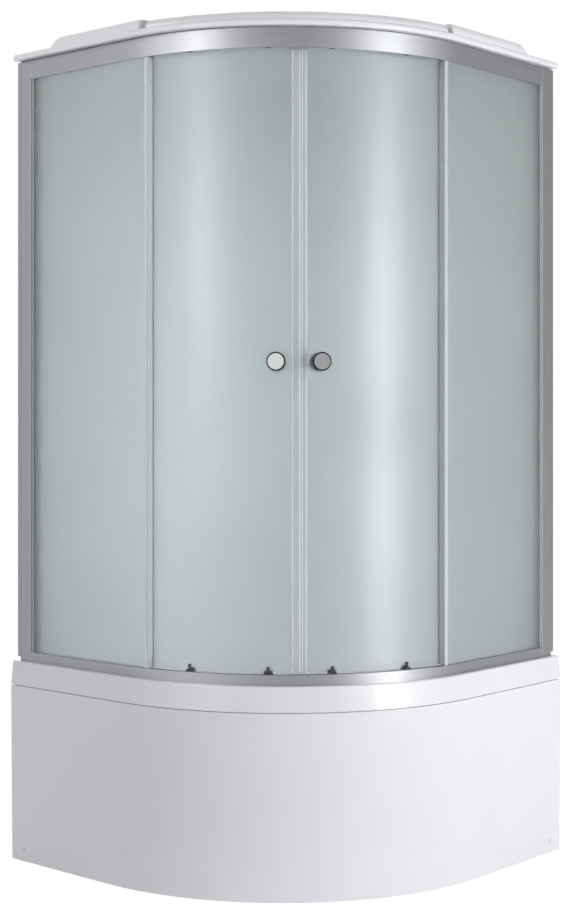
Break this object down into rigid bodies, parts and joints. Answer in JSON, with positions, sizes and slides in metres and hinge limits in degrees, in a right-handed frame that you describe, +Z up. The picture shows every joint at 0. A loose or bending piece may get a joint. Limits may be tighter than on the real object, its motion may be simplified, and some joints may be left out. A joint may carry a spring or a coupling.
{
  "type": "shower cabin",
  "caption": "Corner shower cabin with a quarter-round front: deep tray behind a curved skirt, satin aluminium frame, frosted curved doors on rollers and a moulded roof.",
  "frame": {"origin": "on the floor, under the middle of the square that the cabin fills", "axes": "+Z up; the left room wall is towards -X and the back room wall towards +Y, so the round front faces +X and -Y"},
  "size_m": [1, 1, 2.15],
  "materials": {
    "acrylic": "gloss",
    "roof_plastic": "satin",
    "wall_panel": "gloss",
    "aluminium": "satin anodised",
    "frosted_glass": "etched",
    "clear_pvc": "clear",
    "magnet": "matt",
    "chrome": "polished",
    "dark_plastic": "matt",
    "white_nylon": "satin",
    "steel": "zinc plated",
    "white_cap": "gloss",
    "rubber": "matt"
  },
  "bodies": {
    "cabin": {"tray": "acrylic", "skirt": "acrylic", "roof": "roof_plastic", "left_back_wall": "wall_panel", "right_back_wall": "wall_panel", "corner_column": "wall_panel", "bottom_rail": "aluminium", "top_rail": "aluminium", "left_post": "aluminium", "right_post": "aluminium", "wall_profiles": "aluminium", "left_fixed_glass": "frosted_glass", "right_fixed_glass": "frosted_glass", "post_seals": "clear_pvc", "fixed_seals": "clear_pvc", "drain_cover": "chrome", "rain_head": "chrome", "mixer_body": "chrome", "drain_trap": "white_nylon", "frame_screws": "steel", "tray_frame": "steel", "skirt_brackets": "steel", "leg_studs": "steel", "skirt_screws": "white_cap", "rail_stops": "rubber", "foot_pads": "rubber"},
    "left_door": {"left_door_glass": "frosted_glass", "left_magnet_seal": "clear_pvc", "left_magnet": "magnet", "left_tail_seal": "clear_pvc", "left_top_brackets": "dark_plastic", "left_foot_brackets": "dark_plastic", "left_roller_screws": "steel", "left_knobs": "chrome", "left_knob_stud": "steel"},
    "left_top_lead_wheel": {"left_top_lead_wheel": "white_nylon"},
    "left_lead_release": {"left_lead_release": "dark_plastic"},
    "left_foot_lead_wheel": {"left_foot_lead_wheel": "white_nylon"},
    "left_top_tail_wheel": {"left_top_tail_wheel": "white_nylon"},
    "left_tail_release": {"left_tail_release": "dark_plastic"},
    "left_foot_tail_wheel": {"left_foot_tail_wheel": "white_nylon"},
    "right_door": {"right_door_glass": "frosted_glass", "right_magnet_seal": "clear_pvc", "right_magnet": "magnet", "right_tail_seal": "clear_pvc", "right_top_brackets": "dark_plastic", "right_foot_brackets": "dark_plastic", "right_roller_screws": "steel", "right_knobs": "chrome", "right_knob_stud": "steel"},
    "right_top_lead_wheel": {"right_top_lead_wheel": "white_nylon"},
    "right_lead_release": {"right_lead_release": "dark_plastic"},
    "right_foot_lead_wheel": {"right_foot_lead_wheel": "white_nylon"},
    "right_top_tail_wheel": {"right_top_tail_wheel": "white_nylon"},
    "right_tail_release": {"right_tail_release": "dark_plastic"},
    "right_foot_tail_wheel": {"right_foot_tail_wheel": "white_nylon"},
    "mixer_cap": {"mixer_cap": "chrome"},
    "mixer_lever": {"mixer_lever": "chrome"}
  },
  "joints": [
    {"name": "left_door_slide", "type": "hinge", "parent": "cabin", "child": "left_door", "pos_m": [-0.0883, 0.0883, 1.2], "axis": [0, 0, 1], "range_deg": [-27, 0]},
    {"name": "left_top_lead_wheel_spin", "type": "hinge", "parent": "left_door", "child": "left_top_lead_wheel", "pos_m": [0.24521, -0.35187, 2.0053], "axis": [0.6039, -0.7971, 0], "range_deg": [0, 1990]},
    {"name": "left_lead_release_press", "type": "slide", "parent": "left_door", "child": "left_lead_release", "axis": [0, 0, -1], "range_m": [0, 0.004], "stiffness_N_per_m": 600, "springref_m": -0.003},
    {"name": "left_foot_lead_wheel_spin", "type": "hinge", "parent": "left_lead_release", "child": "left_foot_lead_wheel", "pos_m": [0.24521, -0.35187, 0.521], "axis": [0.6039, -0.7971, 0], "range_deg": [-2490, 0]},
    {"name": "left_top_tail_wheel_spin", "type": "hinge", "parent": "left_door", "child": "left_top_tail_wheel", "pos_m": [0.07501, -0.43925, 2.0053], "axis": [0.2957, -0.9553, 0], "range_deg": [0, 1990]},
    {"name": "left_tail_release_press", "type": "slide", "parent": "left_door", "child": "left_tail_release", "axis": [0, 0, -1], "range_m": [0, 0.004], "stiffness_N_per_m": 600, "springref_m": -0.003},
    {"name": "left_foot_tail_wheel_spin", "type": "hinge", "parent": "left_tail_release", "child": "left_foot_tail_wheel", "pos_m": [0.07501, -0.43925, 0.521], "axis": [0.2957, -0.9553, 0], "range_deg": [-2490, 0]},
    {"name": "right_door_slide", "type": "hinge", "parent": "cabin", "child": "right_door", "pos_m": [-0.0883, 0.0883, 1.2], "axis": [0, 0, 1], "range_deg": [0, 27]},
    {"name": "right_top_lead_wheel_spin", "type": "hinge", "parent": "right_door", "child": "right_top_lead_wheel", "pos_m": [0.35187, -0.24521, 2.0053], "axis": [0.7971, -0.6039, 0], "range_deg": [-1990, 0]},
    {"name": "right_lead_release_press", "type": "slide", "parent": "right_door", "child": "right_lead_release", "axis": [0, 0, -1], "range_m": [0, 0.004], "stiffness_N_per_m": 600, "springref_m": -0.003},
    {"name": "right_foot_lead_wheel_spin", "type": "hinge", "parent": "right_lead_release", "child": "right_foot_lead_wheel", "pos_m": [0.35187, -0.24521, 0.521], "axis": [0.7971, -0.6039, 0], "range_deg": [0, 2490]},
    {"name": "right_top_tail_wheel_spin", "type": "hinge", "parent": "right_door", "child": "right_top_tail_wheel", "pos_m": [0.43925, -0.07501, 2.0053], "axis": [0.9553, -0.2957, 0], "range_deg": [-1990, 0]},
    {"name": "right_tail_release_press", "type": "slide", "parent": "right_door", "child": "right_tail_release", "axis": [0, 0, -1], "range_m": [0, 0.004], "stiffness_N_per_m": 600, "springref_m": -0.003},
    {"name": "right_foot_tail_wheel_spin", "type": "hinge", "parent": "right_tail_release", "child": "right_foot_tail_wheel", "pos_m": [0.43925, -0.07501, 0.521], "axis": [0.9553, -0.2957, 0], "range_deg": [0, 2490]},
    {"name": "mixer_swivel", "type": "hinge", "parent": "cabin", "child": "mixer_cap", "pos_m": [-0.07, 0.42, 1.13], "axis": [0, -1, 0], "range_deg": [-45, 45]},
    {"name": "mixer_lift", "type": "hinge", "parent": "mixer_cap", "child": "mixer_lever", "pos_m": [-0.07, 0.4147, 1.13], "axis": [-1, 0, 0], "range_deg": [0, 20]}
  ],
  "couplings": [
    {"joint": "left_top_lead_wheel_spin", "follows": "left_door_slide", "ratio": -73.633},
    {"joint": "left_foot_lead_wheel_spin", "follows": "left_door_slide", "ratio": 92.042},
    {"joint": "left_top_tail_wheel_spin", "follows": "left_door_slide", "ratio": -73.633},
    {"joint": "left_foot_tail_wheel_spin", "follows": "left_door_slide", "ratio": 92.042},
    {"joint": "right_top_lead_wheel_spin", "follows": "right_door_slide", "ratio": -73.633},
    {"joint": "right_foot_lead_wheel_spin", "follows": "right_door_slide", "ratio": 92.042},
    {"joint": "right_top_tail_wheel_spin", "follows": "right_door_slide", "ratio": -73.633},
    {"joint": "right_foot_tail_wheel_spin", "follows": "right_door_slide", "ratio": 92.042}
  ]
}
